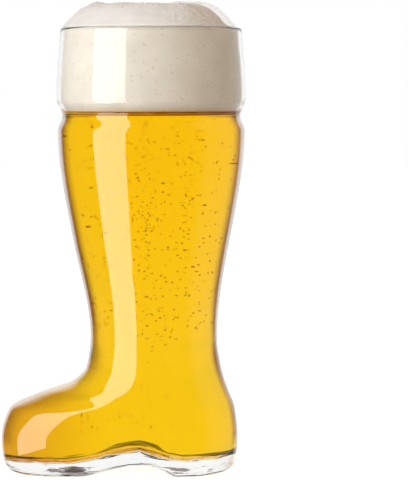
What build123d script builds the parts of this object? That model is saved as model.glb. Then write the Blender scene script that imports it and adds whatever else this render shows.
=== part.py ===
from build123d import *

import math
import os

import numpy as np

# Beer boot glass: one piece of clear glass, filled with beer under a head of foam.
# Millimetres. +Z is up, the toe points along -X, and the table is at Z = 0.
# The origin is on the table, under the middle of the glass's outer box.

# Heights of the glass, from the table up
FOOT_HEIGHT = 19.5  # where the toe and the heel reach furthest out
SIDE_HEIGHT = 28.0  # where the foot is widest
ANKLE_HEIGHT = 74.0  # the narrowest place
SHAFT_HEIGHT = 128.0  # from here up, the glass is round about the shaft's axis
SHOULDER_HEIGHT = 188.5  # the widest place of the shaft
GROOVE_RISE = 8.5  # from the shoulder up to the bottom of the ring groove
CUP_RISE = 9.5  # from the groove up to the widest place of the cup
CUP_DEPTH = 38.5  # from the widest place of the cup up to the rim

# Reach of the glass, measured from the shaft's axis
TOE_REACH = 83.8
HEEL_REACH = 48.1
FOOT_HALF_WIDTH = 39.0
ANKLE_RADIUS = 35.4
ANKLE_SETBACK = 1.2  # the ankle's middle lies this far behind the shaft's axis
SHAFT_RADIUS = 43.6
SHAFT_TAPER = 0.19  # growth of the radius per height, at SHAFT_HEIGHT
CUP_RADIUS = 52.2
SHOULDER_INSET = 0.4  # the shoulder lies this far inside the cup's widest place
GROOVE_INSET = 3.0  # and so does the bottom of the groove
RIM_INSET = 2.2  # and the rim

# Sole
SOLE_INSET = 3.2  # the sole's toe and heel lie this far inside the foot's
SIDE_INSET = 6.0  # and so do its sides
SOLE_EDGE_ROUND = 2.5
ARCH_HEIGHT = 6.5
FRONT_PAD_LENGTH = 43.5
HEEL_PAD_LENGTH = 34.0

# Thickness of the glass
WALL = 3.2
FOOT_WALL = 4.5
SOLE_THICKNESS = 8.0
FLOOR_EDGE_ROUND = 5.0

# Filling
FILL_RISE = 1.5  # the beer stands this far above the bottom of the groove
CROWN_RISE = 15.0  # the foam stands this far above the rim
CROWN_INSET = 16.5  # the foam's flat top lies this far inside the rim

# Shape of the curves, without a size of their own
# Foot: share of the rise to the ankle, then shares of front reach, back reach and fullness that are left
FOOT_CURVE = [
    (0.28, 0.91, 0.86, 0.52),
    (0.44, 0.55, 0.58, 0.03),
    (0.56, 0.19, 0.37, 0.0),
    (0.72, 0.04, 0.17, 0.0),
]
TOE_FULLNESS = 0.8  # 0 gives an oval toe, more gives a blunter one
ARCH_CREST = (0.62, 0.82)  # the arch is highest between these shares of its span
ROUND_WEIGHT = math.sqrt(0.5)  # middle weight of a quarter circle with three control points
ROUND_PULL = 4 / 3 * (math.sqrt(2) - 1)  # pull of a quarter circle with four control points

GROOVE_HEIGHT = SHOULDER_HEIGHT + GROOVE_RISE
CUP_HEIGHT = GROOVE_HEIGHT + CUP_RISE
RIM_HEIGHT = CUP_HEIGHT + CUP_DEPTH
LIP_ROUND = WALL / 2
LIP_HEIGHT = RIM_HEIGHT - LIP_ROUND
BEER_LEVEL = GROOVE_HEIGHT + FILL_RISE
SHOULDER_RADIUS = CUP_RADIUS - SHOULDER_INSET
GROOVE_RADIUS = CUP_RADIUS - GROOVE_INSET
RIM_RADIUS = CUP_RADIUS - RIM_INSET
SHAFT_X = (TOE_REACH - max(CUP_RADIUS, SHOULDER_RADIUS, HEEL_REACH)) / 2

# Stations of the round part: height, radius and slope of the outside
ROUND_STATIONS = [
    (SHAFT_HEIGHT, SHAFT_RADIUS, SHAFT_TAPER),
    (SHOULDER_HEIGHT, SHOULDER_RADIUS, 0.0),
    (GROOVE_HEIGHT, GROOVE_RADIUS, 0.0),
    (CUP_HEIGHT, CUP_RADIUS, 0.0),
    (LIP_HEIGHT, RIM_RADIUS, (RIM_RADIUS - CUP_RADIUS) / CUP_DEPTH),
]


class Outline:
    """A smooth curve of reach against height, through stations of (height, reach, slope)."""

    def __init__(self, stations):
        self.stations = stations

    def at(self, height):
        """The reach and the slope at one height."""
        for low, high in zip(self.stations, self.stations[1:]):
            if height <= high[0]:
                break
        rise = high[0] - low[0]
        t = (height - low[0]) / rise
        step = high[1] - low[1]
        bend = rise * (low[2] + high[2]) - 2 * step
        sag = 3 * step - rise * (2 * low[2] + high[2])
        reach = low[1] + t * (rise * low[2] + t * (sag + t * bend))
        return reach, low[2] + t * (2 * sag + 3 * t * bend) / rise

    def inside(self):
        """The inner face of the wall: moved in square to the curve, and level where it is round."""
        moved = []
        for height, reach, slope in self.stations:
            if height >= SHAFT_HEIGHT:
                moved.append((height, reach - WALL, slope))
                continue
            wall = WALL if height == ANKLE_HEIGHT else FOOT_WALL
            along = math.hypot(1, slope)
            moved.append((height + wall * slope / along, reach - wall / along, slope))
        return Outline(moved)


def smooth_stations(points):
    """Stations for all but the last of some points (height, reach), on a curve without overshoot."""
    rises = [(high[1] - low[1]) / (high[0] - low[0]) for low, high in zip(points, points[1:])]
    slopes = [2 * rises[0]]
    for below, above in zip(rises, rises[1:]):
        turning = below * above <= 0
        slopes.append(0.0 if turning else 2 * below * above / (below + above))
    return [(*point, slope) for point, slope in zip(points, slopes)]


def foot_points(foot_value, shares, ankle_value):
    """Points up the foot, each with its share of what the foot has more than the ankle."""
    points = []
    for row, share_left in zip(FOOT_CURVE, shares):
        height = FOOT_HEIGHT + row[0] * (ANKLE_HEIGHT - FOOT_HEIGHT)
        points.append((height, ankle_value + share_left * (foot_value - ankle_value)))
    return points + [(ANKLE_HEIGHT, ankle_value)]


def boot_outline(sole_reach, foot_height, foot_reach, shares, ankle_reach):
    """One edge of the boot from the sole to the lip: its front, its back or its half width."""
    points = [(0.0, sole_reach), (foot_height, foot_reach)]
    points += foot_points(foot_reach, shares, ankle_reach)
    return Outline(smooth_stations(points + [ROUND_STATIONS[0][:2]]) + ROUND_STATIONS)


def ring(height, front, back, half_width, fullness=0.0):
    """Weighted control points (x, y, z, 1) once round a level: round at the heel, fuller at the toe."""
    side_x = back - half_width
    toe_weight = ROUND_WEIGHT + fullness * ((front + side_x) / half_width - 1)
    corners = [
        (back, 0, 1),
        (back, half_width, ROUND_WEIGHT),
        (side_x, half_width, 1),
        (-front, half_width, toe_weight),
        (-front, 0, 1),
        (-front, -half_width, toe_weight),
        (side_x, -half_width, 1),
        (back, -half_width, ROUND_WEIGHT),
        (back, 0, 1),
    ]
    return np.array([(weight * x, weight * y, weight * height, weight) for x, y, weight in corners])


def ring_and_slope(outlines, height):
    """The ring of some outlines at a height, and how it changes per height there."""
    step = 0.001
    below, here, above = [
        ring(at, *[outline.at(at)[0] for outline in outlines]) for at in (height - step, height, height + step)
    ]
    return here, (above - below) / (2 * step)


def skin_rings(outlines, heights):
    """Control rings of the smooth skin through some heights: three for each rise, and the last."""
    rings = []
    for low, high in zip(heights, heights[1:]):
        third = (high - low) / 3
        start, start_slope = ring_and_slope(outlines, low)
        end, end_slope = ring_and_slope(outlines, high)
        rings += [start, start + third * start_slope, end - third * end_slope]
    return rings + [end]


def rounded_edge(outlines, bottom, height):
    """Control rings of a rounded edge, from a flat bottom up to the skin's first height."""
    radius = height - bottom
    pull = ROUND_PULL * radius
    *edges, fullness = outlines
    reaches = [edge.at(height) for edge in edges]
    full = fullness.at(height)[0]
    return [
        ring(bottom, *[reach - radius for reach, slope in reaches], full),
        ring(bottom, *[reach - radius + pull for reach, slope in reaches], full),
        ring(height - pull, *[reach - pull * slope for reach, slope in reaches], full),
    ]


def round_rings(points):
    """Control rings that are circles about the shaft's axis, from points (height, radius)."""
    return [ring(height, radius, radius, radius) for height, radius in points]


def skinned_solid(rings):
    """A closed solid inside the smooth skin over its control rings, flat at the bottom and the top."""
    nets = [([tuple(row[:3] / row[3]) for row in rows], [float(row[3]) for row in rows]) for rows in rings]
    quarters = [slice(start, start + 3) for start in (0, 2, 4, 6)]
    faces = []
    for first in range(0, len(nets) - 1, 3):
        span = nets[first : first + 4]
        for quarter in quarters:
            points = [points[quarter] for points, weights in span]
            weights = [weights[quarter] for points, weights in span]
            faces.append(Face.make_bezier_surface(points, weights))
    for points, weights in (nets[0], nets[-1]):
        edges = [Bezier(*points[quarter], weights=weights[quarter]) for quarter in quarters]
        faces.append(Face(Wire(edges)))
    return Solid(Shell(faces))


def arch_block(base):
    """What stands under the arch of the sole, from a base height up, right across the foot."""
    front_end = FRONT_PAD_LENGTH - (TOE_REACH - SOLE_INSET)
    heel_end = HEEL_REACH - SOLE_INSET - HEEL_PAD_LENGTH
    span = heel_end - front_end
    crest_front, crest_back = [front_end + share * span for share in ARCH_CREST]
    top = base + ARCH_HEIGHT
    below = base - SOLE_THICKNESS
    front_run = (crest_front - front_end) / 3
    heel_run = (heel_end - crest_back) / 3
    edges = [
        Bezier(
            (front_end, 0, base),
            (front_end + front_run, 0, base + ARCH_HEIGHT / 3),
            (crest_front - front_run, 0, top),
            (crest_front, 0, top),
        ),
        Line((crest_front, 0, top), (crest_back, 0, top)),
        Bezier(
            (crest_back, 0, top),
            (crest_back + heel_run, 0, top),
            (heel_end - heel_run, 0, base + ARCH_HEIGHT / 3),
            (heel_end, 0, base),
        ),
        Polyline(
            (heel_end, 0, base), (heel_end, 0, below), (front_end, 0, below), (front_end, 0, base)
        ),
    ]
    return extrude(make_face(edges), 2 * FOOT_HALF_WIDTH, dir=(0, 1, 0), both=True)


# Outlines of the outside and of the hollow, and the fullness of the toe
front_shares, back_shares, full_shares = list(zip(*FOOT_CURVE))[1:]
front_ankle = ANKLE_RADIUS - ANKLE_SETBACK
back_ankle = ANKLE_RADIUS + ANKLE_SETBACK
edges = [
    boot_outline(TOE_REACH - SOLE_INSET, FOOT_HEIGHT, TOE_REACH, front_shares, front_ankle),
    boot_outline(HEEL_REACH - SOLE_INSET, FOOT_HEIGHT, HEEL_REACH, back_shares, back_ankle),
    boot_outline(FOOT_HALF_WIDTH - SIDE_INSET, SIDE_HEIGHT, FOOT_HALF_WIDTH, [], ANKLE_RADIUS),
]
full_points = [(0.0, TOE_FULLNESS), (FOOT_HEIGHT, TOE_FULLNESS)]
full_points += foot_points(TOE_FULLNESS, full_shares, 0.0)
fullness = Outline(smooth_stations(full_points + [(SHAFT_HEIGHT, 0.0)]) + [(RIM_HEIGHT, 0.0, 0.0)])
outside = [*edges, fullness]
hollow = [*[edge.inside() for edge in edges], fullness]
hollow_radius = hollow[0].stations[-1][1]

# Glass: the outer body with its lip and arch, less the hollow
outer_heights = [SOLE_EDGE_ROUND] + [station[0] for station in outside[0].stations[1:]]
lip_pull = ROUND_PULL * LIP_ROUND
crest_radius = RIM_RADIUS - LIP_ROUND
lip_rings = round_rings(
    [
        (LIP_HEIGHT + lip_pull, RIM_RADIUS),
        (RIM_HEIGHT, crest_radius + lip_pull),
        (RIM_HEIGHT, crest_radius),
        (RIM_HEIGHT, crest_radius - lip_pull),
        (LIP_HEIGHT + lip_pull, hollow_radius),
        (LIP_HEIGHT, hollow_radius),
    ]
)
sole_rings = rounded_edge(outside, 0.0, SOLE_EDGE_ROUND)
outer_body = skinned_solid(sole_rings + skin_rings(outside, outer_heights) + lip_rings)
floor_heights = [SOLE_THICKNESS + FLOOR_EDGE_ROUND]
floor_heights += [station[0] for station in hollow[0].stations if station[0] > floor_heights[0] + 1]
floor_rings = rounded_edge(hollow, SOLE_THICKNESS, floor_heights[0])
floor_arch = arch_block(SOLE_THICKNESS)
hollow_body = skinned_solid(floor_rings + skin_rings(hollow, floor_heights)) - floor_arch
boot_glass = outer_body - arch_block(0.0) - hollow_body

# Beer: the hollow up to the fill level
beer_heights = [height for height in floor_heights if height < BEER_LEVEL] + [BEER_LEVEL]
beer = skinned_solid(floor_rings + skin_rings(hollow, beer_heights)) - floor_arch

# Foam: the rest of the hollow, and a crown above the rim
crown_top = RIM_HEIGHT + CROWN_RISE
crown_radius = hollow_radius - CROWN_INSET
foam_heights = [BEER_LEVEL] + [height for height in floor_heights if height > BEER_LEVEL]
crown_rings = round_rings(
    [
        (LIP_HEIGHT + CROWN_RISE * 0.4, hollow_radius - CROWN_INSET / 9),
        (crown_top, crown_radius + CROWN_INSET / 2),
        (crown_top, crown_radius),
    ]
)
foam_head = skinned_solid(skin_rings(hollow, foam_heights) + crown_rings)

os.makedirs("parts", exist_ok=True)
nodes = {"boot_glass": boot_glass, "beer": beer, "foam_head": foam_head}
for name, shape in nodes.items():
    placed = Pos(SHAFT_X, 0, 0) * shape
    placed.label = name
    export_step(placed, f"parts/{name}.step")
    print(f"{name}: {len(shape.solids())} solid, {shape.volume / 1000:.1f} ml")
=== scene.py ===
import math

import bpy
import numpy as np
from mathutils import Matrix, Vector, noise


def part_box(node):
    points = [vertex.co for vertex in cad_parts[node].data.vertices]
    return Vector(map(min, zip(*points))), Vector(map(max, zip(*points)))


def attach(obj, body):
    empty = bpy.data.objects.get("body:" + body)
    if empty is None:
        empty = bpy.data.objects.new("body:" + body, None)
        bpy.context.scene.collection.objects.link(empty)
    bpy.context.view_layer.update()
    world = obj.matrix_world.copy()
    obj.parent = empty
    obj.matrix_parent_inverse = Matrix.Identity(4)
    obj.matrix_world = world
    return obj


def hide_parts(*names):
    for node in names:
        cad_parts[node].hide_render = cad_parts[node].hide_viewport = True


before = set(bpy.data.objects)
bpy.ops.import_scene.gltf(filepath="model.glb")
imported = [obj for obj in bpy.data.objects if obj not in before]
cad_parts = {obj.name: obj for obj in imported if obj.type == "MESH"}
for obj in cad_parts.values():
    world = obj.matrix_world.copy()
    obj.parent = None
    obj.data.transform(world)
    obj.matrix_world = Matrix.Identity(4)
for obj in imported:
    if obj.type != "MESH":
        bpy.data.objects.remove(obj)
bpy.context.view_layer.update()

# Beer boot glass: clear glass, golden beer and a head of foam.
# Sizes are millimetres measured from the shaft's axis and the table, and MM turns them into metres.
MM = 0.001

# Heights and reaches of the glass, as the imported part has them
FOOT_HEIGHT = 19.5
SIDE_HEIGHT = 28.0
ANKLE_HEIGHT = 74.0
SHAFT_HEIGHT = 128.0
SHOULDER_HEIGHT = 188.5
GROOVE_HEIGHT = 197.0
CUP_HEIGHT = 206.5
RIM_HEIGHT = 245.0
TOE_REACH = 83.8
HEEL_REACH = 48.1
FOOT_HALF_WIDTH = 39.0
ANKLE_RADIUS = 35.4
ANKLE_SETBACK = 1.2
SHAFT_RADIUS = 43.6
SHAFT_TAPER = 0.19
SHOULDER_RADIUS = 51.8
GROOVE_RADIUS = 49.2
CUP_RADIUS = 52.2
RIM_RADIUS = 50.0
SOLE_INSET = 3.2
SIDE_INSET = 6.0
ARCH_HEIGHT = 6.5
ARCH_SPAN = (-37.1, -7.34, 2.26, 10.9)  # front end, crest front, crest back and heel end
WALL = 3.2
FOOT_WALL = 4.5
SOLE_THICKNESS = 8.0
BEER_LEVEL = 198.5

# Foot: share of the rise to the ankle, then shares of front reach, back reach and fullness that are left
FOOT_CURVE = [
    (0.28, 0.91, 0.86, 0.52),
    (0.44, 0.55, 0.58, 0.03),
    (0.56, 0.19, 0.37, 0.0),
    (0.72, 0.04, 0.17, 0.0),
]
TOE_FULLNESS = 0.8
ROUND_WEIGHT = math.sqrt(0.5)

# Softer forms of the sole and the hollow's floor
EDGE_ROUNDS = (6.0, 4.0, 3.5)  # round of the sole's edge at the toe, the heel and the sides
SOLE_EASE = 4.0  # the corners of the sole's arch are eased over this length each way
FLOOR_EASE = 9.0  # those of the floor's arch over this
FLOOR_SHIFT = 3.0  # and that arch lies this much further forward
HEEL_THICKER = 1.6  # the sole is this much thicker at the heel than at the toe
FLOOR_EDGE_ROUND = 4.0
FLOOR_WAVES = ((11.0, 0.9), (5.0, 0.45))  # length and height of the slow waves in the hollow's floor
WAVE_REACH = 12.0  # the waves die out this far above the floor
FLOOR_SLACK = 0.5  # a point this little below the floor still belongs to it

# Foam and beer against the glass
BEER_GAP = 0.08  # the beer's skin stays this far inside the glass
FOAM_GAP = 0.05  # and the foam's skin this far
FOAM_DIP = 0.3  # the foam reaches this far down into the beer
FOAM_TURN = 0.4  # and starts to turn over the lip this far below the lip's round
MENISCUS = 1.6  # beer climbs the glass this far above its level

# Crown of the foam, and the clear skin of large bubbles on it
CROWN_TOP = 257.9
CROWN_INSET = 16.5
CROWN_LID = 1.0  # radius of the flat lid in the middle of its top
CROWN_LEAN = 6.5  # the crown stands back this far on the heel's side, where the skin covers it
LEAN_RISE = 3.0  # the lean comes in over this height above the lip
CROWN_WAVES = ((16.0, 0.6), (6.0, 0.35), (2.5, 0.18))  # length and height of the waves on the crown
LUMPS_FROM = 1.0  # waves and lumps start this far above the rim
LUMPS_RISE = 5.0  # and are full this much higher
LUMPS_SINK = 0.2  # they are lowered by this, so that they rise and fall about the crown
SKIN_LEAN = 3.0  # the skin stands back less
SKIN_LIFT = 0.9  # and this far off the crown's top
SKIN_SUNK = 1.6  # away from the heel's side it lies this deep in the foam
SKIN_FROM = 4.0  # it comes out of the foam from this far behind the axis
SKIN_OVER = 12.0  # over this length
SKIN_WAVES = ((6.0, 0.5), (2.5, 0.3))  # length and height of its wrinkles

# Lumps of the crown's top: place from the shaft's axis, reach and rise
FOAM_LUMPS = [
    (-29.0, -9.0, 6.0, 1.1),
    (-13.0, -16.0, 9.0, 1.0),
    (-20.0, 12.0, 9.0, 0.8),
    (17.0, -10.0, 8.0, 0.5),
    (8.0, 22.0, 9.0, 0.7),
]

# How finely the meshes are cut: height between rings, numbers of rings, and points in a quarter of a ring
BOOT_STEP = 1.6
GROOVE_STEP = 0.8
CUP_STEP = 2.0
FOAM_STEPS = (0.9, 1.6)  # at the groove and above it
FINE_FROM, FINE_TO = 180.0, 212.0  # the rings about the groove lie between these heights
SOLE_EDGE_RINGS = 12
FLOOR_EDGE_RINGS = 8
LIP_RINGS = 13
QUARTER = 40
FOAM_QUARTER = 60
LIP_POINTS = 8  # points of the crown's profile over the lip
SIDE_POINTS = 32  # up its side
TOP_POINTS = 25  # and in over its top

LIP_ROUND = WALL / 2
LIP_HEIGHT = RIM_HEIGHT - LIP_ROUND
LIP_MIDDLE = RIM_RADIUS - LIP_ROUND
HOLLOW_RIM = RIM_RADIUS - WALL

# The foam's box is round about the shaft's axis
foam_low, foam_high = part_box("foam_head")
SHAFT_X = (foam_low.x + foam_high.x) / 2 / MM

ROUND_STATIONS = [
    (SHAFT_HEIGHT, SHAFT_RADIUS, SHAFT_TAPER),
    (SHOULDER_HEIGHT, SHOULDER_RADIUS, 0.0),
    (GROOVE_HEIGHT, GROOVE_RADIUS, 0.0),
    (CUP_HEIGHT, CUP_RADIUS, 0.0),
    (LIP_HEIGHT, RIM_RADIUS, (RIM_RADIUS - CUP_RADIUS) / (RIM_HEIGHT - CUP_HEIGHT)),
]


def smooth_stations(points):
    """Stations (height, reach, slope) for all but the last of some points, on a curve without overshoot."""
    rises = [(high[1] - low[1]) / (high[0] - low[0]) for low, high in zip(points, points[1:])]
    slopes = [2 * rises[0]]
    for below, above in zip(rises, rises[1:]):
        turning = below * above <= 0
        slopes.append(0.0 if turning else 2 * below * above / (below + above))
    return [(*point, slope) for point, slope in zip(points, slopes)]


def foot_points(foot_value, shares, ankle_value):
    """Points up the foot, each with its share of what the foot has more than the ankle."""
    points = []
    for row, share_left in zip(FOOT_CURVE, shares):
        height = FOOT_HEIGHT + row[0] * (ANKLE_HEIGHT - FOOT_HEIGHT)
        points.append((height, ankle_value + share_left * (foot_value - ankle_value)))
    return points + [(ANKLE_HEIGHT, ankle_value)]


def boot_stations(sole_reach, foot_height, foot_reach, shares, ankle_reach):
    """Stations of one edge of the boot from the sole to the lip: its front, back or half width."""
    points = [(0.0, sole_reach), (foot_height, foot_reach)]
    points += foot_points(foot_reach, shares, ankle_reach)
    return smooth_stations(points + [ROUND_STATIONS[0][:2]]) + ROUND_STATIONS


def hollow_stations(stations):
    """The same edge on the inner face of the wall."""
    moved = []
    for height, reach, slope in stations:
        if height >= SHAFT_HEIGHT:
            moved.append((height, reach - WALL, slope))
            continue
        wall = WALL if height == ANKLE_HEIGHT else FOOT_WALL
        along = math.hypot(1, slope)
        moved.append((height + wall * slope / along, reach - wall / along, slope))
    return moved


def reach_at(stations, heights):
    """Reach at some heights, on the smooth curve through the stations."""
    at, reach, slope = np.array(stations).T
    low = np.clip(np.searchsorted(at, heights) - 1, 0, len(at) - 2)
    high = low + 1
    rise = at[high] - at[low]
    t = (heights - at[low]) / rise
    start = (1 + 2 * t) * (1 - t) ** 2 * reach[low] + t * (1 - t) ** 2 * rise * slope[low]
    end = t**2 * (3 - 2 * t) * reach[high] - t**2 * (1 - t) * rise * slope[high]
    return start + end


FRONT_SHARES, BACK_SHARES, FULL_SHARES = list(zip(*FOOT_CURVE))[1:]
FRONT_ANKLE = ANKLE_RADIUS - ANKLE_SETBACK
BACK_ANKLE = ANKLE_RADIUS + ANKLE_SETBACK
OUTSIDE = [
    boot_stations(TOE_REACH - SOLE_INSET, FOOT_HEIGHT, TOE_REACH, FRONT_SHARES, FRONT_ANKLE),
    boot_stations(HEEL_REACH - SOLE_INSET, FOOT_HEIGHT, HEEL_REACH, BACK_SHARES, BACK_ANKLE),
    boot_stations(FOOT_HALF_WIDTH - SIDE_INSET, SIDE_HEIGHT, FOOT_HALF_WIDTH, [], ANKLE_RADIUS),
]
HOLLOW = [hollow_stations(stations) for stations in OUTSIDE]
FULL_POINTS = [(0.0, TOE_FULLNESS), (FOOT_HEIGHT, TOE_FULLNESS)]
FULL_POINTS += foot_points(TOE_FULLNESS, FULL_SHARES, 0.0)
FULLNESS = smooth_stations(FULL_POINTS + [(SHAFT_HEIGHT, 0.0)]) + [(RIM_HEIGHT, 0.0, 0.0)]


def conic(start, corner, end, weight, t):
    """Points on a conic arc from start to end, drawn towards a corner by a weight."""
    shares = np.stack([(1 - t) ** 2, 2 * weight * t * (1 - t), t**2], axis=1)
    return shares @ np.array([start, corner, end]) / shares.sum(axis=1, keepdims=True)


def ring(front, back, half_width, fullness, height, quarter):
    """Points once round a level section, from the heel past +Y to the toe and back past -Y."""
    side_x = back - half_width
    toe_weight = ROUND_WEIGHT + fullness * ((front + side_x) / half_width - 1)
    t = np.linspace(0, 1, quarter, endpoint=False)
    heel = conic((back, 0), (back, half_width), (side_x, half_width), ROUND_WEIGHT, t)
    toe = conic((side_x, half_width), (-front, half_width), (-front, 0), toe_weight, t)
    half = np.vstack([heel, toe])
    outline = np.vstack([half, [(-front, 0)], half[:0:-1] * (1, -1)])
    return np.column_stack([outline, np.full(len(outline), height)])


def round_ring(radius, height, quarter):
    """Points once round a circle about the shaft's axis."""
    return ring(radius, radius, radius, 0.0, height, quarter)


def arch(x, ease):
    """Height of the sole's arch above the table at x, with its corners eased over a length each way."""
    front_end, crest_front, crest_back, heel_end = ARCH_SPAN
    heights = []
    for shift in np.linspace(-ease, ease, 11):
        front = (x + shift - front_end) / (crest_front - front_end)
        heel = (heel_end - x - shift) / (heel_end - crest_back)
        t = np.clip(np.minimum(front, heel), 0, 1)
        heights.append(ARCH_HEIGHT * (t + t**2 - t**3))
    return np.mean(heights, axis=0)


def sole_rise(x):
    """Height of the sole's underside above the table at x."""
    return arch(x, SOLE_EASE)


def floor_rise(x):
    """Rise of the hollow's floor at x: a softer arch, further forward, and a thicker heel."""
    front_end, heel_end = ARCH_SPAN[0], ARCH_SPAN[-1]
    heelward = np.clip((x - front_end) / (heel_end - front_end), 0, 1)
    return arch(x + FLOOR_SHIFT, FLOOR_EASE) + HEEL_THICKER * heelward


def arched(points, base, rise):
    """Points with a rise worked in: full at the base height, and none a foot's height above it."""
    t = np.clip((points[:, 2] - base) / FOOT_HEIGHT, 0, 1)
    points[:, 2] += rise(points[:, 0]) * (1 - t) ** 2 * (1 + 2 * t)
    return points


def waves_at(point, waves):
    """Height at a point of some waves, each given by its length and height."""
    spot = Vector(point)
    return sum(height * noise.noise(spot / length) for length, height in waves)


def uneven_floor(vertices, first):
    """Vertices, with slow waves in the hollow's floor from a first vertex on, dying out up its sides."""
    points = np.array(vertices)
    above = points[:, 2] - floor_rise(points[:, 0]) - SOLE_THICKNESS
    share = np.clip(1 - above / WAVE_REACH, 0, 1) ** 2
    on_floor = np.flatnonzero((above > -FLOOR_SLACK) & (share > 0))
    for index in on_floor[on_floor >= first]:
        wave = waves_at((points[index, 0], points[index, 1], 0), FLOOR_WAVES)
        points[index, 2] += wave * share[index]
    return points


def climb(*stops):
    """Heights from the first stop up to the last, with (height, step) for each stop after it."""
    heights = [np.array([stops[0]])]
    for stop, step in stops[1:]:
        start = heights[-1][-1]
        heights.append(np.linspace(start, stop, math.ceil((stop - start) / step) + 1)[1:])
    return np.concatenate(heights)


def rounded_heights(bottom, radius, steps):
    """Heights up a rounded bottom edge."""
    return bottom + radius * (1 - np.cos(np.linspace(0, math.pi / 2, steps)))


def drawn_in(heights, bottom, radius):
    """How far a rounded bottom edge draws the outline in at some heights."""
    left = np.clip(bottom + radius - heights, 0, radius)
    return radius - np.sqrt(radius**2 - left**2)


def hollow_heights(gap):
    """Heights up the hollow, from a gap above its floor to the lip."""
    edge = rounded_heights(SOLE_THICKNESS + gap, FLOOR_EDGE_ROUND, FLOOR_EDGE_RINGS)
    about_groove = [(FINE_FROM, BOOT_STEP), (BEER_LEVEL, GROOVE_STEP), (FINE_TO, GROOVE_STEP)]
    above = climb(edge[-1], *about_groove, (LIP_HEIGHT, CUP_STEP))
    return np.concatenate([edge, above[1:]])


def boot_rings(stations, heights, insets, base, rise, quarter=QUARTER):
    """Rings of the boot at some heights, drawn in by an inset for the front, the back and the sides."""
    reaches = [reach_at(edge, heights) - inset for edge, inset in zip(stations, insets)]
    rings = [ring(*sizes, quarter) for sizes in zip(*reaches, reach_at(FULLNESS, heights), heights)]
    return [arched(points, base, rise) for points in rings]


def closed_skin(rings):
    """Vertices, faces and the ring of each face, for the skin over a stack of rings, shut at both ends."""
    count = len(rings[0])
    half = count // 2
    across = 24
    vertices = [tuple(point) for points in rings for point in points]
    faces = []
    owners = []
    for row in range(len(rings) - 1):
        start = row * count
        for here in range(count):
            after = (here + 1) % count
            faces.append((start + here, start + after, start + count + after, start + count + here))
            owners.append(row)
    for row in (0, len(rings) - 1):
        start = row * count
        strips = []
        for near in range(1, half):
            one, other = np.array(rings[row][near]), np.array(rings[row][count - near])
            first = len(vertices)
            vertices += [tuple(one + (other - one) * k / across) for k in range(1, across)]
            strips.append([start + near, *range(first, first + across - 1), start + count - near])
        lids = []
        for k in range(across):
            lids.append((start, strips[0][k], strips[0][k + 1]))
            lids.append((strips[-1][k], start + half, strips[-1][k + 1]))
            for one, other in zip(strips, strips[1:]):
                lids.append((one[k], other[k], other[k + 1], one[k + 1]))
        faces += lids if row else [lid[::-1] for lid in lids]
        owners += [row] * len(lids)
    return vertices, faces, owners


def new_piece(name, skin, materials, pick=None):
    """A smooth object from a closed skin, placed on the shaft's axis, with a material for each ring."""
    vertices, faces, owners = skin
    mesh = bpy.data.meshes.new(name)
    placed = (np.array(vertices) + (SHAFT_X, 0, 0)) * MM
    mesh.from_pydata(placed.tolist(), [], faces)
    for material in materials:
        mesh.materials.append(material)
    if pick:
        mesh.polygons.foreach_set("material_index", [pick(row) for row in owners])
    mesh.polygons.foreach_set("use_smooth", [True] * len(mesh.polygons))
    mesh.validate()
    made = bpy.data.objects.new(name, mesh)
    bpy.context.scene.collection.objects.link(made)
    return made


# Materials: a tint is what a face of glass lets through
WHITE = (1, 1, 1, 1)
GLASS_IOR = 1.5
BEER_IOR = 1.335
FOAM_IOR = 1.03
CLEAR_TINT = (0.99, 0.996, 0.993, 1)
# Dark streaks in the sole are painted shade for dark surroundings seen through it
SHADE_STREAK_TINT = (0.10, 0.08, 0.075, 1)
WET_TINT = (1, 0.66, 0.8, 1)
# Deeper tints of painted shade in the foot and the toe
WET_FOOT_SHADE_TINT = (1, 0.67, 0.45, 1)
WET_TOE_SHADE_TINT = (0.8, 0.42, 0.4, 1)
# Colour of the brown limb of painted shade on the wet glass
LIMB_SHADE_TINT = (0.16, 0.035, 0.003, 1)
FILM_TINT = (1, 0.65, 0.03, 1)
LINE_TINT = (0.50, 0.21, 0.012, 1)
BEER_COLOUR = (1.0, 0.976, 0.0, 1)
BEER_DENSITY = 77.0
CUP_FOAM = (0.97, 0.93, 0.86, 1)
# The crown's darker colour is painted shade; its whiter tone is the foam's own
SHADED_CROWN_FOAM = (0.64, 0.655, 0.69, 1)
SOAKED_TOEWARD = (0.97, 0.76, 0.46, 1)
# Toward the heel the soaked foam carries painted shade
SOAKED_AND_SHADED_HEELWARD = (0.84, 0.48, 0.12, 1)
PIT_SHADE = (0.88, 0.81, 0.71, 1)
BUBBLE_MIDDLE = (0.85, 0.5, 0.12, 1)
# The bubble's brown edge is painted shade
BUBBLE_EDGE_SHADE = (0.18, 0.04, 0.002, 1)
FROTH_COLOUR = (0.95, 0.94, 0.93, 1)

# Heights between which a look comes in, or about which it lies
HEEL_FADE = (110.0, 45.0)
FOOT_FADE = (95.0, 45.0)
SOLE_FADE = (12.0, 24.0)
FLOOR_FADE = (12.0, 21.0)
GROOVE_FADE = (GROOVE_HEIGHT + 3.0, GROOVE_HEIGHT - 3.0)
DRAINED_FADE = (BEER_LEVEL - 1.0, BEER_LEVEL + 5.0)
CROWN_FADE = (RIM_HEIGHT - 3.0, RIM_HEIGHT + 2.0)
FILM_FADE = (BEER_LEVEL + 0.5, BEER_LEVEL + 0.9)
LINE_FADE = (BEER_LEVEL + 1.5, BEER_LEVEL + 2.1)
LINE_WAVER = 2.2  # film and lines waver, and lie up to this much lower
SECOND_LINE = BEER_LEVEL - 0.8
SECOND_LINE_REACH = 0.45
# Band of the sole where the streaks of painted shade lie
SHADE_STREAK_LEVEL = 4.6
SHADE_STREAK_REACH = 2.0

# Places behind the shaft's axis between which a look comes in
HEEL_PLACES = (10.0, 35.0)
TOE_PLACES = (-20.0, -75.0)
FRONT_PLACES = (25.0, -15.0)
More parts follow.
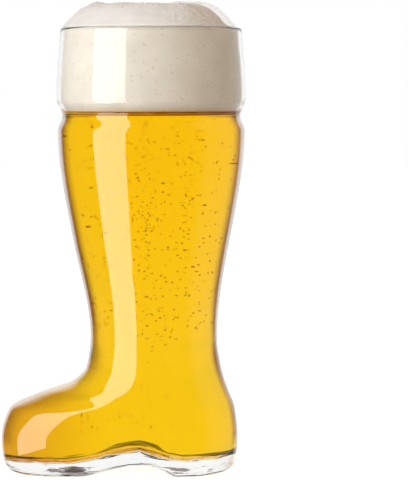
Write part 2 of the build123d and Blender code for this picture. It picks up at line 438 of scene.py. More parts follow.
# Over these places painted shade deepens the soaked foam toward the heel
SOAKED_SHADE_PLACES = (-38.0, -4.0)

# How far a face turns away where an edge comes in, and how much further at the heel
PALE_EDGE = (0.66, 0.74)
PALE_EDGE_LATER = 0.1
# The brown and foot edges are painted shade at the beer's limb
BROWN_SHADE_EDGE = (0.205, 0.268)
BROWN_SHADE_EDGE_LATER = 0.045
FOOT_SHADE_EDGE = (0.14, 0.34)
SLANT_EDGE = (0.08, 0.16)
FROTH_EDGE = (0.45, 0.98)


def add_node(tree, kind, values=None, **settings):
    """A new node with its settings, and inputs that are set to a value or linked to an output."""
    made = tree.nodes.new(kind)
    for key, value in settings.items():
        setattr(made, key, value)
    for key, value in (values or {}).items():
        if isinstance(value, bpy.types.NodeSocket):
            tree.links.new(value, made.inputs[key])
        else:
            made.inputs[key].default_value = value
    return made


def maths(tree, operation, *values):
    """The result of a maths node on some values."""
    return add_node(tree, "ShaderNodeMath", dict(enumerate(values)), operation=operation).outputs["Value"]


def between(tree, share, low, high):
    """The value that lies a share of the way from low to high."""
    ramp = add_node(tree, "ShaderNodeMapRange", {"Value": share, "To Min": low, "To Max": high})
    return ramp.outputs["Result"]


def smooth_ramp(tree, value, start, end, low=0.0, high=1.0):
    """A smooth way from low, where a value is at the start, to high, where it is at the end."""
    limits = {"From Min": start, "From Max": end, "To Min": low, "To Max": high}
    ramp = add_node(tree, "ShaderNodeMapRange", {"Value": value, **limits}, interpolation_type="SMOOTHSTEP")
    return ramp.outputs["Result"]


def over_heights(tree, height, span, low=0.0):
    """A smooth way from low to all between two heights in millimetres."""
    return smooth_ramp(tree, height, span[0] * MM, span[1] * MM, low)


def over_places(tree, place, span):
    """A smooth way from none to all between two places in millimetres behind the shaft's axis."""
    return smooth_ramp(tree, place, (SHAFT_X + span[0]) * MM, (SHAFT_X + span[1]) * MM)


def mix(tree, factor, one, other, kind="RGBA"):
    """A mix of two colours, or of two numbers."""
    mixer = add_node(tree, "ShaderNodeMix", {"Factor": factor, "A": one, "B": other}, data_type=kind)
    return mixer.outputs["Result"]


def object_place(tree):
    """The object's own coordinates, whole and as separate axes."""
    place = add_node(tree, "ShaderNodeTexCoord").outputs["Object"]
    return place, add_node(tree, "ShaderNodeSeparateXYZ", {"Vector": place}).outputs


def facing_away(tree):
    """How far a face turns away: none where it is seen square on, and all at its edge."""
    return add_node(tree, "ShaderNodeLayerWeight", {"Blend": 0.5}).outputs["Facing"]


def new_material(name, values):
    """A material with its node tree and its Principled shader, which has some plain values."""
    material = bpy.data.materials.new(name)
    material.use_nodes = True
    tree = material.node_tree
    shader = tree.nodes["Principled BSDF"]
    for key, value in values.items():
        shader.inputs[key].default_value = value
    return material, tree, shader


def glass_ripple_group():
    """Slow waves of hand-blown glass, as a height."""
    group = bpy.data.node_groups.new("glass_ripple", "ShaderNodeTree")
    group.interface.new_socket("Wave Scale", in_out="INPUT", socket_type="NodeSocketFloat")
    group.interface.new_socket("Height", in_out="OUTPUT", socket_type="NodeSocketFloat")
    scale = add_node(group, "NodeGroupInput").outputs["Wave Scale"]
    place = add_node(group, "ShaderNodeTexCoord").outputs["Object"]
    waves = add_node(group, "ShaderNodeTexNoise", {"Vector": place, "Scale": scale, "Detail": 1.0})
    add_node(group, "NodeGroupOutput", {"Height": waves.outputs["Fac"]})
    return group


def at_heel_group():
    """How far a spot lies toward the back of the heel, from none to all."""
    group = bpy.data.node_groups.new("at_heel", "ShaderNodeTree")
    group.interface.new_socket("Share", in_out="OUTPUT", socket_type="NodeSocketFloat")
    axis = object_place(group)[1]
    heelward = over_places(group, axis["X"], HEEL_PLACES)
    low = over_heights(group, axis["Z"], HEEL_FADE)
    add_node(group, "NodeGroupOutput", {"Share": maths(group, "MULTIPLY", heelward, low)})
    return group


GLASS_RIPPLE = glass_ripple_group()
AT_HEEL = at_heel_group()


def rippled(tree, shader, wave_scale, depth):
    """Puts the glass ripple on a shader's normal."""
    ripple = add_node(tree, "ShaderNodeGroup", {"Wave Scale": wave_scale}, node_tree=GLASS_RIPPLE)
    height = ripple.outputs["Height"]
    bump = add_node(tree, "ShaderNodeBump", {"Strength": 1.0, "Distance": depth, "Height": height})
    tree.links.new(bump.outputs["Normal"], shader.inputs["Normal"])


def edge_of(tree, facing, span, later):
    """The share of an edge, which comes in later at the heel and is narrower there."""
    at_heel = add_node(tree, "ShaderNodeGroup", node_tree=AT_HEEL).outputs["Share"]
    return smooth_ramp(tree, maths(tree, "MULTIPLY_ADD", at_heel, -later, facing), *span)


def clear_glass():
    """The dry faces of the glass, with a pale edge along the boot and a few dark streaks of painted shade
    deep in the sole, where dark surroundings would show through it.
    """
    plain = {"Roughness": 0.0, "IOR": GLASS_IOR, "Transmission Weight": 1.0}
    coat = {"Coat IOR": 2.2, "Coat Roughness": 0.0}
    material, tree, shader = new_material("clear_glass", plain | coat)
    place, axis = object_place(tree)
    stretched = add_node(tree, "ShaderNodeMapping", {"Vector": place, "Scale": (55.0, 55.0, 380.0)})
    look = {"Vector": stretched.outputs["Vector"], "Scale": 1.0, "Detail": 5.0, "Roughness": 0.65}
    # Painted shade: stretched dark streaks in a band of the sole
    shade_streak = smooth_ramp(tree, add_node(tree, "ShaderNodeTexNoise", look).outputs["Fac"], 0.52, 0.58)
    in_sole = maths(tree, "COMPARE", axis["Z"], SHADE_STREAK_LEVEL * MM, SHADE_STREAK_REACH * MM)
    painted_streaks = maths(tree, "MULTIPLY", shade_streak, in_sole)
    tree.links.new(mix(tree, painted_streaks, CLEAR_TINT, SHADE_STREAK_TINT), shader.inputs["Base Color"])
    edge = edge_of(tree, facing_away(tree), PALE_EDGE, PALE_EDGE_LATER)
    above_sole = over_heights(tree, axis["Z"], SOLE_FADE)
    below_cup = over_heights(tree, axis["Z"], GROOVE_FADE)
    on_boot = maths(tree, "MULTIPLY", above_sole, below_cup)
    tree.links.new(maths(tree, "MULTIPLY", edge, on_boot), shader.inputs["Coat Weight"])
    rippled(tree, shader, 22.0, 0.00012)
    return material


def foam_wet_glass():
    """The inner face of the cup, which mirrors nothing because foam wets it."""
    plain = {"Base Color": CLEAR_TINT, "Roughness": 0.0, "IOR": GLASS_IOR / FOAM_IOR}
    unmirrored = {"Specular Tint": (0, 0, 0, 1), "Transmission Weight": 1.0}
    material, tree, shader = new_material("foam_wet_glass", plain | unmirrored)
    rippled(tree, shader, 26.0, 0.0001)
    return material


def beer_wet_glass():
    """The inner face of the glass where beer wets it: light bends only a little there."""
    plain = {"Roughness": 0.0, "IOR": GLASS_IOR / BEER_IOR, "Transmission Weight": 1.0}
    material, tree, shader = new_material("beer_wet_glass", plain)
    place, axis = object_place(tree)
    facing = facing_away(tree)
    unsteady = add_node(tree, "ShaderNodeTexNoise", {"Vector": place, "Scale": 90.0, "Detail": 2.0})
    waver = unsteady.outputs["Fac"]
    # Painted shade: deeper colour in the foot, and deepest in the toe, for the darker surroundings seen
    # through the beer there
    in_foot = over_heights(tree, axis["Z"], FOOT_FADE)
    toeward = over_places(tree, axis["X"], TOE_PLACES)
    in_toe = maths(tree, "MULTIPLY", toeward, in_foot)
    body = mix(tree, in_toe, mix(tree, in_foot, WET_TINT, WET_FOOT_SHADE_TINT), WET_TOE_SHADE_TINT)
    # Painted shade: a brown limb where the near wall turns away, in place of dark surroundings bent into view
    # there; softer in the front of the foot and faint on the floor
    edge = edge_of(tree, facing, BROWN_SHADE_EDGE, BROWN_SHADE_EDGE_LATER)
    foot_shade_edge = smooth_ramp(tree, facing, *FOOT_SHADE_EDGE, high=0.8)
    frontward = over_places(tree, axis["X"], FRONT_PLACES)
    in_front = maths(tree, "MULTIPLY", frontward, in_foot)
    any_shade_edge = mix(tree, in_front, edge, foot_shade_edge, "FLOAT")
    near_wall = add_node(tree, "ShaderNodeNewGeometry").outputs["Backfacing"]
    near_shade_edge = maths(tree, "MULTIPLY", any_shade_edge, near_wall)
    faint_floor_shade = smooth_ramp(tree, waver, 0.46, 0.62, high=0.2)
    off_floor = over_heights(tree, axis["Z"], FLOOR_FADE, faint_floor_shade)
    limb = mix(tree, maths(tree, "MULTIPLY", near_shade_edge, off_floor), body, LIMB_SHADE_TINT)
    # A film of beer above its level, the line on top of it, and a second line that shows at a slant
    level = maths(tree, "MULTIPLY_ADD", waver, LINE_WAVER * MM, axis["Z"])
    film = over_heights(tree, level, FILM_FADE)
    line = over_heights(tree, level, LINE_FADE)
    below = maths(tree, "COMPARE", level, SECOND_LINE * MM, SECOND_LINE_REACH * MM)
    slanting = smooth_ramp(tree, facing, *SLANT_EDGE, 0.12, 0.9)
    lines = maths(tree, "MAXIMUM", line, maths(tree, "MULTIPLY", below, slanting))
    lined = mix(tree, lines, mix(tree, film, limb, FILM_TINT), LINE_TINT)
    tree.links.new(lined, shader.inputs["Base Color"])
    rippled(tree, shader, 30.0, 0.0001)
    return material


def golden_beer():
    """Beer: its surface bends nothing by itself, because the wet glass does, and its body soaks up blue."""
    plain = {"Base Color": WHITE, "Roughness": 0.0, "IOR": 1.0, "Transmission Weight": 1.0}
    material, tree, _ = new_material("golden_beer", plain)
    body = add_node(tree, "ShaderNodeVolumeAbsorption", {"Color": BEER_COLOUR, "Density": BEER_DENSITY})
    tree.links.new(body.outputs["Volume"], tree.nodes["Material Output"].inputs["Volume"])
    return material


def beer_foam():
    """Fine froth: soaked with beer at the bottom and deeper toward the heel by painted shade, warm in the
    cup, and whiter but darker on the crown, where painted shade evens out the stronger light.
    """
    material, tree, shader = new_material("beer_foam", {"Roughness": 0.75, "Specular IOR Level": 0.2})
    place, axis = object_place(tree)
    drained = over_heights(tree, axis["Z"], DRAINED_FADE)
    risen = over_heights(tree, axis["Z"], CROWN_FADE)
    # Painted shade: the soaked foam turns deeper amber toward the heel, the side away from the key
    heelward = over_places(tree, axis["X"], SOAKED_SHADE_PLACES)
    soaked = mix(tree, heelward, SOAKED_TOEWARD, SOAKED_AND_SHADED_HEELWARD)
    # Painted shade: the crown's foam is darker than the cup's, to even out the stronger light on it outside
    # the glass
    colour = mix(tree, risen, mix(tree, drained, soaked, CUP_FOAM), SHADED_CROWN_FOAM)
    # Pits that nearly close on the crown
    pits = add_node(tree, "ShaderNodeTexVoronoi", {"Vector": place, "Scale": 300.0}).outputs["Distance"]
    closed = maths(tree, "MULTIPLY", risen, 0.93)
    pitted = mix(tree, smooth_ramp(tree, pits, 0.10, 0.20, low=closed), PIT_SHADE, WHITE)
    with_pits = add_node(tree, "ShaderNodeVectorMath", {0: colour, 1: pitted}, operation="MULTIPLY")
    clouds = add_node(tree, "ShaderNodeTexNoise", {"Vector": place, "Scale": 70.0, "Detail": 4.0})
    limits = {"From Min": 0.3, "From Max": 0.7, "To Min": 0.94, "To Max": 1.02}
    mottle = add_node(tree, "ShaderNodeMapRange", {"Value": clouds.outputs["Fac"], **limits})
    shade = {0: with_pits.outputs["Vector"], "Scale": mottle.outputs["Result"]}
    mottled = add_node(tree, "ShaderNodeVectorMath", shade, operation="SCALE")
    tree.links.new(mottled.outputs["Vector"], shader.inputs["Base Color"])
    cells = add_node(tree, "ShaderNodeTexVoronoi", {"Vector": place, "Scale": 1400.0}).outputs["Distance"]
    bump = add_node(tree, "ShaderNodeBump", {"Strength": 0.5, "Distance": 0.0004, "Height": cells})
    tree.links.new(bump.outputs["Normal"], shader.inputs["Normal"])
    return material


def gas_bubble():
    """A small bubble in the beer: clear in the middle, and brown at its edge, painted shade for the dark rim
    where light leaves it.
    """
    plain = {"Roughness": 0.0, "IOR": BEER_IOR, "Transmission Weight": 1.0}
    material, tree, shader = new_material("gas_bubble", plain)
    tint = mix(tree, facing_away(tree), BUBBLE_MIDDLE, BUBBLE_EDGE_SHADE)
    tree.links.new(tint, shader.inputs["Base Color"])
    return material


def froth_skin():
    """The thin skin of bubbles on the foam: clear but at its edge and along the lines where bubbles meet."""
    material, tree, shader = new_material("froth_skin", {"Base Color": FROTH_COLOUR, "Roughness": 0.3})
    edge = smooth_ramp(tree, facing_away(tree), *FROTH_EDGE, 0.05, 0.3)
    cell = {"Vector": add_node(tree, "ShaderNodeTexCoord").outputs["Object"], "Scale": 170.0}
    cells = add_node(tree, "ShaderNodeTexVoronoi", cell, feature="DISTANCE_TO_EDGE")
    meeting = smooth_ramp(tree, cells.outputs["Distance"], 0.0, 0.06, 0.35, 0.0)
    tree.links.new(maths(tree, "MAXIMUM", edge, meeting), shader.inputs["Alpha"])
    return material


CLEAR_GLASS = clear_glass()
FOAM_WET_GLASS = foam_wet_glass()
BEER_WET_GLASS = beer_wet_glass()
GOLDEN_BEER = golden_beer()
BEER_FOAM = beer_foam()
GAS_BUBBLE = gas_bubble()
FROTH_SKIN = froth_skin()


# Glass, beer and foam
def boot_glass():
    """The glass, from the edge of the sole up the outside, over the lip and down the hollow."""
    edge = rounded_heights(0.0, max(EDGE_ROUNDS), SOLE_EDGE_RINGS)
    above = climb(edge[-1], (FINE_FROM, BOOT_STEP), (FINE_TO, GROOVE_STEP), (LIP_HEIGHT, CUP_STEP))
    outer = np.concatenate([edge, above[1:]])
    rings = boot_rings(OUTSIDE, outer, [drawn_in(outer, 0.0, size) for size in EDGE_ROUNDS], 0.0, sole_rise)
    for turn in np.linspace(0, math.pi, LIP_RINGS)[1:-1]:
        radius = LIP_MIDDLE + LIP_ROUND * math.cos(turn)
        rings.append(round_ring(radius, LIP_HEIGHT + LIP_ROUND * math.sin(turn), QUARTER))
    inner = hollow_heights(0.0)[::-1]
    inset = drawn_in(inner, SOLE_THICKNESS, FLOOR_EDGE_ROUND)
    foam_from = len(rings)
    rings += boot_rings(HOLLOW, inner, [inset] * 3, SOLE_THICKNESS, floor_rise)
    beer_from = foam_from + int(np.argmin(abs(inner - BEER_LEVEL - MENISCUS)))
    vertices, faces, owners = closed_skin(rings)
    skin = uneven_floor(vertices, foam_from * len(rings[0])), faces, owners
    finishes = [CLEAR_GLASS, FOAM_WET_GLASS, BEER_WET_GLASS]
    return new_piece("boot_glass_body", skin, finishes, lambda row: (row >= foam_from) + (row >= beer_from))


def beer_fill():
    """The beer: the hollow up to its level, a hair inside the glass."""
    heights = hollow_heights(BEER_GAP)
    heights = heights[heights < BEER_LEVEL + GROOVE_STEP / 2]
    inset = BEER_GAP + drawn_in(heights, SOLE_THICKNESS + BEER_GAP, FLOOR_EDGE_ROUND)
    rings = boot_rings(HOLLOW, heights, [inset] * 3, SOLE_THICKNESS, floor_rise)
    vertices, faces, owners = closed_skin(rings)
    return new_piece("beer_fill", (uneven_floor(vertices, 0), faces, owners), [GOLDEN_BEER])


def crown_profile():
    """Radius and height of points over the inner half of the lip, up the crown's side and in over its top."""
    turn = np.radians(np.linspace(180, 95, LIP_POINTS))[:, None]
    over_lip = (LIP_ROUND + FOAM_GAP) * np.hstack([np.cos(turn), np.sin(turn)])
    lip = (LIP_MIDDLE, LIP_HEIGHT) + over_lip
    top_edge = HOLLOW_RIM - CROWN_INSET
    side_corners = np.array(
        [
            (LIP_MIDDLE - 0.1, RIM_HEIGHT + 1.2),
            (LIP_MIDDLE - 4.2, RIM_HEIGHT + 5.0),
            (top_edge + 9.2, CROWN_TOP),
            (top_edge, CROWN_TOP),
        ]
    )
    t = np.linspace(0, 1, SIDE_POINTS)[:, None]
    shares = np.hstack([(1 - t) ** 3, 3 * t * (1 - t) ** 2, 3 * t**2 * (1 - t), t**3])
    top_radii = np.linspace(top_edge, CROWN_LID, TOP_POINTS + 1)[1:]
    top = np.column_stack([top_radii, np.full(TOP_POINTS, CROWN_TOP)])
    return np.vstack([lip, [(LIP_MIDDLE + 0.1, RIM_HEIGHT + 0.4)], shares @ side_corners, top])


def unit_steps(profile):
    """Run and rise of a step of length one along a profile, at each of its points."""
    along = np.gradient(profile, axis=0)
    return along / np.linalg.norm(along, axis=1, keepdims=True)


def lean_back(points, radius, lean):
    """Moves the points of a ring back on the heel's side, most at its end."""
    points[:, 0] -= lean * np.clip(points[:, 0] / radius, 0, 1) ** 2


def push_out(point, radius, step, distance):
    """Moves a point of a round skin outward, square to its profile."""
    run, rise = step
    point += np.array([point[0] / radius * rise, point[1] / radius * rise, -run]) * distance


def crown_lump(point):
    """Height of the crown's waves and lumps at a point."""
    lump = waves_at(point, CROWN_WAVES)
    for x, y, reach, rise in FOAM_LUMPS:
        away = ((point[0] - x) ** 2 + (point[1] - y) ** 2) / reach**2
        lump += rise * math.exp(-2 * away)
    return lump


def foam_head():
    """The foam: the cup above the beer, and a lumpy crown over the rim."""
    at_groove, above = FOAM_STEPS
    heights = climb(BEER_LEVEL - FOAM_DIP, (FINE_TO, at_groove), (LIP_HEIGHT - FOAM_TURN, above))
    rings = boot_rings(HOLLOW, heights, [FOAM_GAP] * 3, SOLE_THICKNESS, floor_rise, FOAM_QUARTER)
    profile = crown_profile()
    for (radius, level), step in zip(profile[1:], unit_steps(profile)[1:]):
        points = round_ring(radius, level, FOAM_QUARTER)
        lean_back(points, radius, CROWN_LEAN * np.clip((level - LIP_HEIGHT) / LEAN_RISE, 0, 1))
        freedom = np.clip((level - RIM_HEIGHT - LUMPS_FROM) / LUMPS_RISE, 0, 1)
        for point in points:
            push_out(point, radius, step, (crown_lump(point) - LUMPS_SINK) * freedom)
        rings.append(points)
    return new_piece("foam_crown", closed_skin(rings), [BEER_FOAM])


def crown_skin():
    """The clear skin of large bubbles: over the foam on the heel's side, and inside it elsewhere."""
    profile = crown_profile()[LIP_POINTS:]
    rings = []
    for (radius, level), step in zip(profile, unit_steps(profile)):
        points = round_ring(radius, level, FOAM_QUARTER)
        over = np.clip((points[:, 0] - SKIN_FROM) / SKIN_OVER, 0, 1)
        lean_back(points, radius, SKIN_LEAN)
        for point, share in zip(points, over**2 * (3 - 2 * over)):
            lift = share * (SKIN_LIFT + waves_at(point, SKIN_WAVES)) - (1 - share) * SKIN_SUNK
            push_out(point, radius, step, lift)
        rings.append(points)
    return new_piece("crown_skin", closed_skin(rings), [FROTH_SKIN])


# Bubbles: trees that scatter them, each ending in one plain mesh
BUBBLE_SOCKETS = {
    "Smallest": "Float",
    "Largest": "Float",
    "Segments": "Int",
    "Rings": "Int",
    "Seed": "Int",
    "Material": "Material",
}


def new_tree(name, sockets):
    """A geometry tree with named inputs, and those inputs."""
    tree = bpy.data.node_groups.new(name, "GeometryNodeTree")
    for label, kind in (sockets | BUBBLE_SOCKETS).items():
        tree.interface.new_socket(label, in_out="INPUT", socket_type="NodeSocket" + kind)
    tree.interface.new_socket("Geometry", in_out="OUTPUT", socket_type="NodeSocketGeometry")
    return tree, add_node(tree, "NodeGroupInput").outputs


def random_size(tree, given):
    """A size for each bubble, between the smallest and the largest."""
    other_seed = maths(tree, "ADD", given["Seed"], 1)
    # Inputs 2 and 3 are the limits of a plain number
    limits = {"Seed": other_seed, 2: given["Smallest"], 3: given["Largest"]}
    return add_node(tree, "FunctionNodeRandomValue", limits, data_type="FLOAT").outputs[1]


def bubbles_at(tree, given, points, size):
    """Ends a tree with a bubble of its size on each point, as one mesh with a material."""
    form = {"Segments": given["Segments"], "Rings": given["Rings"]}
    bubble = add_node(tree, "GeometryNodeMeshUVSphere", form).outputs["Mesh"]
    spots = {"Points": points, "Instance": bubble, "Scale": size}
    placed = add_node(tree, "GeometryNodeInstanceOnPoints", spots).outputs["Instances"]
    joined = add_node(tree, "GeometryNodeRealizeInstances", {"Geometry": placed}).outputs["Geometry"]
    smooth = add_node(tree, "GeometryNodeSetShadeSmooth", {"Geometry": joined}).outputs["Geometry"]
    finish = {"Geometry": smooth, "Material": given["Material"]}
    finished = add_node(tree, "GeometryNodeSetMaterial", finish).outputs["Geometry"]
    add_node(tree, "NodeGroupOutput", {"Geometry": finished})


def rising_bubbles_tree():
    """Bubbles scattered about an upright axis, from a lowest to a highest level, outside an empty core."""
    column = {
        "Count": "Int",
        "Axis": "Vector",
        "Lowest": "Float",
        "Highest": "Float",
        "Reach Low": "Float",
        "Reach High": "Float",
        "Core Area": "Float",
    }
    tree, given = new_tree("rising_bubbles", column)
    chance = add_node(tree, "FunctionNodeRandomValue", {"Seed": given["Seed"]}, data_type="FLOAT_VECTOR")
    draw = add_node(tree, "ShaderNodeSeparateXYZ", {"Vector": chance.outputs[0]}).outputs
    height = between(tree, draw["Z"], given["Lowest"], given["Highest"])
    reach = between(tree, draw["Z"], given["Reach Low"], given["Reach High"])
    area = between(tree, draw["Y"], given["Core Area"], 1.0)
    radius = maths(tree, "MULTIPLY", maths(tree, "SQRT", area), reach)
    spoke = add_node(tree, "ShaderNodeCombineXYZ", {"X": radius, "Z": height}).outputs["Vector"]
    turn = {"Vector": spoke, "Angle": maths(tree, "MULTIPLY", draw["X"], 2 * math.pi)}
    turned = add_node(tree, "ShaderNodeVectorRotate", turn, rotation_type="Z_AXIS").outputs["Vector"]
    moved = add_node(tree, "ShaderNodeVectorMath", {0: turned, 1: given["Axis"]}, operation="ADD")
    spots = {"Count": given["Count"], "Position": moved.outputs["Vector"]}
    points = add_node(tree, "GeometryNodePoints", spots).outputs["Points"]
    bubbles_at(tree, given, points, random_size(tree, given))
    return tree


def froth_bubbles_tree():
    """Bubbles sunk into a surface, above a lowest level."""
    surface = {"Surface": "Geometry", "Density": "Float", "Lowest": "Float", "Sunk Share": "Float"}
    tree, given = new_tree("froth_bubbles", surface)
    place = add_node(tree, "GeometryNodeInputPosition").outputs["Position"]
    level = add_node(tree, "ShaderNodeSeparateXYZ", {"Vector": place}).outputs["Z"]
    chosen = {"Mesh": given["Surface"], "Selection": maths(tree, "GREATER_THAN", level, given["Lowest"])}
    spread = {"Density": given["Density"], "Seed": given["Seed"]}
    strewn = add_node(tree, "GeometryNodeDistributePointsOnFaces", chosen | spread).outputs
    size = random_size(tree, given)
    depth = maths(tree, "MULTIPLY", size, given["Sunk Share"])
    inward = {0: strewn["Normal"], "Scale": maths(tree, "MULTIPLY", depth, -1.0)}
    offset = add_node(tree, "ShaderNodeVectorMath", inward, operation="SCALE").outputs["Vector"]
    sunk = add_node(tree, "GeometryNodeSetPosition", {"Geometry": strewn["Points"], "Offset": offset})
    bubbles_at(tree, given, sunk.outputs["Geometry"], size)
    return tree


def grown(name, tree, values, surface=None):
    """A plain mesh object made by a tree with its named inputs."""
    made = bpy.data.objects.new(name, surface.data if surface else bpy.data.meshes.new(name))
    bpy.context.scene.collection.objects.link(made)
    modifier = made.modifiers.new(name, "NODES")
    modifier.node_group = tree
    for socket in tree.interface.items_tree:
        if socket.name in values:
            modifier[socket.identifier] = values[socket.name]
    ready = made.evaluated_get(bpy.context.evaluated_depsgraph_get())
    mesh = bpy.data.meshes.new_from_object(ready)
    made.modifiers.clear()
    made.data = mesh
    mesh.name = name
    return made


def bubble_values(sizes, seed, material):
    """Values of the inputs that every tree of bubbles has, from sizes in millimetres."""
    return {
        "Smallest": sizes[0] * MM,
        "Largest": sizes[1] * MM,
        "Segments": 8,
        "Rings": 6,
        "Seed": seed,
        "Material": material,
    }


glass = boot_glass()
beer = beer_fill()
foam = foam_head()

RISING_BUBBLES = rising_bubbles_tree()
FROTH_BUBBLES = froth_bubbles_tree()


def beer_bubbles(name, count, axis, levels, reaches, core_area, sizes, seed):
    """Bubbles in the beer, from sizes in millimetres measured from the shaft's axis."""
    column = {
        "Count": count,
        "Axis": ((SHAFT_X + axis[0]) * MM, axis[1] * MM, 0.0),
        "Lowest": levels[0] * MM,
        "Highest": levels[1] * MM,
        "Reach Low": reaches[0] * MM,
        "Reach High": reaches[1] * MM,
        "Core Area": core_area,
    }
    return grown(name, RISING_BUBBLES, column | bubble_values(sizes, seed, GAS_BUBBLE))


def froth_bubbles(name, density, lowest, sunk_share, sizes, seed):
    """Bubbles on the foam above a level, from sizes in millimetres."""
    surface = {"Density": density, "Lowest": lowest * MM, "Sunk Share": sunk_share}
    return grown(name, FROTH_BUBBLES, surface | bubble_values(sizes, seed, FROTH_SKIN), foam)


bubbles = [
    beer_bubbles("bubbles_in_shaft", 480, (0, 0), (74, 194), (30.0, 45.0), 0.0, (0.2, 0.48), 3),
    beer_bubbles("bubbles_in_ankle", 60, (0, 0), (22, 112), (24.0, 30.0), 0.0, (0.2, 0.45), 13),
    beer_bubbles("bubbles_on_wall", 110, (0, 0), (80, 187), (31.6, 47.2), 0.95, (0.3, 0.62), 8),
    beer_bubbles("bubble_stream_left", 40, (-2, -12), (110, 196), (1.2, 3.0), 0.0, (0.2, 0.45), 21),
    beer_bubbles("bubble_stream_right", 40, (16, -10), (110, 196), (1.2, 3.0), 0.0, (0.2, 0.45), 34),
    beer_bubbles("bubbles_in_foot", 30, (-22, 0), (20, 40), (26, 22), 0.0, (0.2, 0.45), 55),
]
froth = [
    crown_skin(),
    froth_bubbles("small_froth", 40000.0, 255.0, 0.3, (0.3, 0.9), 6),
]

# Camera at the photograph's angle, in metres
CAMERA_PLACE = (0.0449, -1.3, 0.2222)
CAMERA_TARGET = (0.0449, 0.0, 0.1223)
CAMERA_LENS = 169.3


def aimed(placed, target):
    """Turns a camera or lamp to look at a target."""
    placed.rotation_euler = (Vector(target) - placed.location).to_track_quat("-Z", "Y").to_euler()


camera = bpy.data.objects.new("camera", bpy.data.cameras.new("camera"))
camera.data.lens = CAMERA_LENS
camera.data.sensor_width = 36.0
camera.data.clip_end = 50.0
camera.location = CAMERA_PLACE
aimed(camera, CAMERA_TARGET)
bpy.context.scene.collection.objects.link(camera)
bpy.context.scene.camera = camera

# Light: a surround with a soft key to the camera's left, and a tall lamp there that only shows in the glass
AMBIENT = (0.62, 0.445, 0.27, 1)
FROM_BEHIND = (0.85, 0.83, 0.8, 1)
KEY_COLOUR = (0.92, 0.97, 1.0)
KEY_RADIANCE = 3.5
KEY_AZIMUTH = math.radians(42)
KEY_ELEVATION = math.radians(18)
KEY_CORE = math.radians(20)  # the key is full within this angle
KEY_END = math.radians(42)  # and ends at this one
GLARE_AZIMUTH = math.radians(51)
GLARE_DISTANCE = 1.04
GLARE_WIDTH = 0.82
GLARE_TALL = 1.9
GLARE_LEVEL = 0.5
GLARE_RADIANCE = 5.0


def softbox_glare():
    """The tall lamp, in metres, which lights nothing and shows only as a reflection."""
    lamp = bpy.data.lights.new("softbox_glare", "AREA")
    lamp.shape = "RECTANGLE"
    lamp.size = GLARE_WIDTH
    lamp.size_y = GLARE_TALL
    lamp.energy = GLARE_RADIANCE * math.pi * GLARE_WIDTH * GLARE_TALL
    placed = bpy.data.objects.new("softbox_glare", lamp)
    leftward = GLARE_DISTANCE * math.sin(GLARE_AZIMUTH)
    placed.location = (SHAFT_X * MM - leftward, -GLARE_DISTANCE * math.cos(GLARE_AZIMUTH), GLARE_LEVEL)
    aimed(placed, (SHAFT_X * MM, 0, GLARE_LEVEL))
    placed.visible_camera = False
    placed.visible_diffuse = False
    placed.visible_transmission = False
    bpy.context.scene.collection.objects.link(placed)


def unscattered(tree, path):
    """Whether a ray has met no matt surface on its way from the camera."""
    return maths(tree, "LESS_THAN", path["Diffuse Depth"], 0.5)


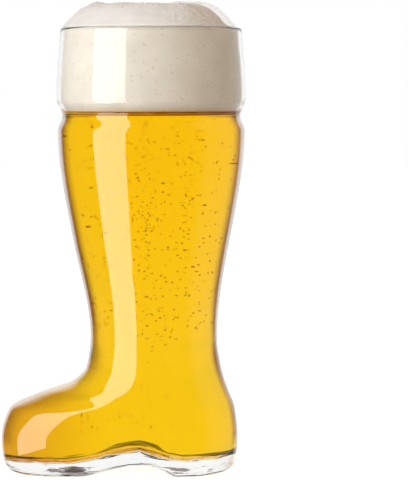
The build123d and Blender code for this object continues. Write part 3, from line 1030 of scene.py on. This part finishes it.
def surround():
    """White where it is seen directly or through glass, mostly dark where mirrored, and else the light."""
    world = bpy.data.worlds.new("surround")
    world.use_nodes = True
    bpy.context.scene.world = world
    tree = world.node_tree
    path = add_node(tree, "ShaderNodeLightPath").outputs
    toward = add_node(tree, "ShaderNodeTexCoord").outputs["Generated"]
    axis = add_node(tree, "ShaderNodeSeparateXYZ", {"Vector": toward}).outputs
    clean = unscattered(tree, path)
    # Light: dim and warm in front, paler behind, and the key
    key_way = (
        -math.sin(KEY_AZIMUTH) * math.cos(KEY_ELEVATION),
        -math.cos(KEY_AZIMUTH) * math.cos(KEY_ELEVATION),
        math.sin(KEY_ELEVATION),
    )
    toward_key = add_node(tree, "ShaderNodeVectorMath", {0: toward, 1: key_way}, operation="DOT_PRODUCT")
    key = smooth_ramp(
        tree, toward_key.outputs["Value"], math.cos(KEY_END), math.cos(KEY_CORE), high=KEY_RADIANCE
    )
    key_light = add_node(tree, "ShaderNodeVectorMath", {0: KEY_COLOUR, "Scale": key}, operation="SCALE")
    fill = mix(tree, smooth_ramp(tree, axis["Y"], 0.35, 0.85), AMBIENT, FROM_BEHIND)
    both = {0: key_light.outputs["Vector"], 1: fill}
    light = add_node(tree, "ShaderNodeVectorMath", both, operation="ADD").outputs["Vector"]
    # What is seen directly or through glass
    direct = maths(tree, "MAXIMUM", path["Is Camera Ray"], path["Is Transmission Ray"])
    lit = mix(tree, maths(tree, "MULTIPLY", direct, clean), light, WHITE)
    # What is mirrored: a pale backdrop, and a dim panel to the right
    backdrop = smooth_ramp(tree, axis["Y"], 0.72, 0.84, low=0.04)
    right = smooth_ramp(tree, axis["X"], 0.3, 0.5, high=0.35)
    panel = maths(tree, "MULTIPLY", right, smooth_ramp(tree, axis["Y"], -0.5, -0.2))
    mirror = maths(tree, "MAXIMUM", panel, backdrop)
    rays = {0: path["Is Glossy Ray"], 1: path["Is Transmission Ray"]}
    reflected = add_node(tree, "ShaderNodeMath", rays, operation="SUBTRACT", use_clamp=True).outputs["Value"]
    shown = mix(tree, maths(tree, "MULTIPLY", reflected, clean), lit, mirror)
    tree.links.new(shown, tree.nodes["Background"].inputs["Color"])


def pale_floor():
    """A pale floor that shows white where nothing shades it, and keeps the shadow."""
    half = 4.0
    drop = -0.0004
    mesh = bpy.data.meshes.new("floor")
    corners = [(-half, -half, drop), (half, -half, drop), (half, half, drop), (-half, half, drop)]
    mesh.from_pydata(corners, [], [(0, 1, 2, 3)])
    matt = {"Base Color": (0.80, 0.79, 0.77, 1), "Roughness": 0.9, "Specular IOR Level": 0.0}
    material, tree, shader = new_material("pale_floor", matt | {"Emission Color": WHITE})
    path = add_node(tree, "ShaderNodeLightPath").outputs
    glow = maths(tree, "MULTIPLY", path["Is Camera Ray"], 0.9)
    tree.links.new(glow, shader.inputs["Emission Strength"])
    through = maths(tree, "MULTIPLY", path["Is Transmission Ray"], unscattered(tree, path))
    white = add_node(tree, "ShaderNodeEmission").outputs["Emission"]
    pick = add_node(tree, "ShaderNodeMixShader", {"Fac": through, 1: shader.outputs["BSDF"], 2: white})
    tree.links.new(pick.outputs["Shader"], tree.nodes["Material Output"].inputs["Surface"])
    mesh.materials.append(material)
    floor = bpy.data.objects.new("floor", mesh)
    floor.visible_glossy = False
    bpy.context.scene.collection.objects.link(floor)


softbox_glare()
surround()
pale_floor()
bpy.context.scene.view_settings.view_transform = "Standard"

# What each piece rides on, and the imported part it stands in for
for piece, node, slot in (
    (glass, "boot_glass", "glass"),
    (beer, "beer", "beer"),
    (foam, "foam_head", "foam"),
):
    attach(piece, "root")
    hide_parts(node)
for pieces, slot in ((bubbles, "beer"), (froth, "foam")):
    for piece in pieces:
        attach(piece, "root")
